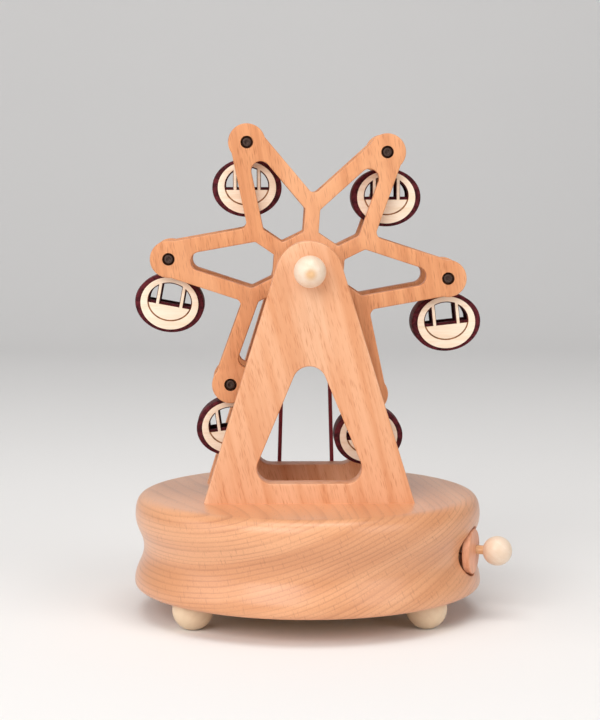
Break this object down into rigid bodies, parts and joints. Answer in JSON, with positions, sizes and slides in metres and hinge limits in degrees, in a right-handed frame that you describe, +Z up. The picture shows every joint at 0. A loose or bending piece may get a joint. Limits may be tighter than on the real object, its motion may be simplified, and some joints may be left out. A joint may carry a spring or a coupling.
{
  "type": "crank ferris wheel toy",
  "caption": "Wooden hand-cranked music box with a belt-driven ferris wheel whose cabins stay level.",
  "frame": {"origin": "on the table, under the middle of the object's outline", "axes": "+Z up, -Y towards the front of the wheel, +X towards the crank's side"},
  "size_m": [0.1182, 0.11, 0.154],
  "materials": {
    "beech": "satin",
    "pale_wood": "satin",
    "plywood": "matte",
    "face_plywood": "matte",
    "burgundy_stain": "satin",
    "dark_wood": "satin",
    "steel": "satin",
    "dark_screw": "satin",
    "zinc_plate": "satin",
    "brass": "satin",
    "belt_rubber": "matte"
  },
  "bodies": {
    "base": {"base_body": "beech", "bottom_cover": "plywood", "comb": "steel", "comb_screws": "steel", "cover_screws": "steel", "crank_bearing": "zinc_plate", "crank_bushing": "brass", "drive_belt": "belt_rubber", "foot_1": "pale_wood", "foot_2": "pale_wood", "foot_3": "pale_wood", "foot_4": "pale_wood", "frame_dowels": "beech", "front_a_frame": "beech", "front_bearing": "zinc_plate", "movement_plate": "zinc_plate", "plate_screws": "steel", "rear_a_frame": "beech", "rear_bearing": "zinc_plate"},
    "wheel": {"wheel_front_frame": "beech", "wheel_rear_frame": "beech", "gondola_pins": "dark_screw", "hub_spool": "beech", "front_spacer": "beech", "rear_spacer": "beech", "wheel_axle": "beech", "axle_cap": "pale_wood", "upper_pulley": "dark_wood"},
    "crank": {"crank_disc": "beech", "crank_peg": "beech", "crank_knob": "pale_wood", "crank_shaft": "steel", "crank_pinion": "brass"},
    "music_drum": {"drum_arbor": "steel", "pin_cylinder": "brass", "drum_gear": "brass", "lower_pulley": "dark_wood"},
    "gondola_1": {"gondola_1_drum": "burgundy_stain", "gondola_1_front_face": "face_plywood", "gondola_1_rear_face": "face_plywood"},
    "gondola_2": {"gondola_2_drum": "burgundy_stain", "gondola_2_front_face": "face_plywood", "gondola_2_rear_face": "face_plywood"},
    "gondola_3": {"gondola_3_drum": "burgundy_stain", "gondola_3_front_face": "face_plywood", "gondola_3_rear_face": "face_plywood"},
    "gondola_4": {"gondola_4_drum": "burgundy_stain", "gondola_4_front_face": "face_plywood", "gondola_4_rear_face": "face_plywood"},
    "gondola_5": {"gondola_5_drum": "burgundy_stain", "gondola_5_front_face": "face_plywood", "gondola_5_rear_face": "face_plywood"},
    "gondola_6": {"gondola_6_drum": "burgundy_stain", "gondola_6_front_face": "face_plywood", "gondola_6_rear_face": "face_plywood"}
  },
  "joints": [
    {"name": "wheel_spin", "type": "hinge", "parent": "base", "child": "wheel", "pos_m": [-0.00409, 0, 0.1092], "axis": [0, 1, 0], "continuous": true},
    {"name": "drum_spin", "type": "hinge", "parent": "base", "child": "music_drum", "pos_m": [-0.00409, 0, 0.0218], "axis": [0, 1, 0], "continuous": true},
    {"name": "crank_spin", "type": "hinge", "parent": "base", "child": "crank", "pos_m": [0.04665, -0.01847, 0.0218], "axis": [0.9397, -0.342, 0], "continuous": true},
    {"name": "gondola_1_swing", "type": "hinge", "parent": "wheel", "child": "gondola_1", "pos_m": [0.0392, 0, 0.10617], "axis": [0, 1, 0], "continuous": true},
    {"name": "gondola_2_swing", "type": "hinge", "parent": "wheel", "child": "gondola_2", "pos_m": [0.02018, 0, 0.14518], "axis": [0, 1, 0], "continuous": true},
    {"name": "gondola_3_swing", "type": "hinge", "parent": "wheel", "child": "gondola_3", "pos_m": [-0.02312, 0, 0.14821], "axis": [0, 1, 0], "continuous": true},
    {"name": "gondola_4_swing", "type": "hinge", "parent": "wheel", "child": "gondola_4", "pos_m": [-0.04739, 0, 0.11223], "axis": [0, 1, 0], "continuous": true},
    {"name": "gondola_5_swing", "type": "hinge", "parent": "wheel", "child": "gondola_5", "pos_m": [-0.02836, 0, 0.07322], "axis": [0, 1, 0], "continuous": true},
    {"name": "gondola_6_swing", "type": "hinge", "parent": "wheel", "child": "gondola_6", "pos_m": [0.01493, 0, 0.07019], "axis": [0, 1, 0], "continuous": true}
  ],
  "couplings": [
    {"joint": "drum_spin", "follows": "wheel_spin", "ratio": 0.73118},
    {"joint": "crank_spin", "follows": "wheel_spin", "ratio": 2.1935},
    {"joint": "gondola_1_swing", "follows": "wheel_spin", "ratio": -1},
    {"joint": "gondola_2_swing", "follows": "wheel_spin", "ratio": -1},
    {"joint": "gondola_3_swing", "follows": "wheel_spin", "ratio": -1},
    {"joint": "gondola_4_swing", "follows": "wheel_spin", "ratio": -1},
    {"joint": "gondola_5_swing", "follows": "wheel_spin", "ratio": -1},
    {"joint": "gondola_6_swing", "follows": "wheel_spin", "ratio": -1}
  ]
}
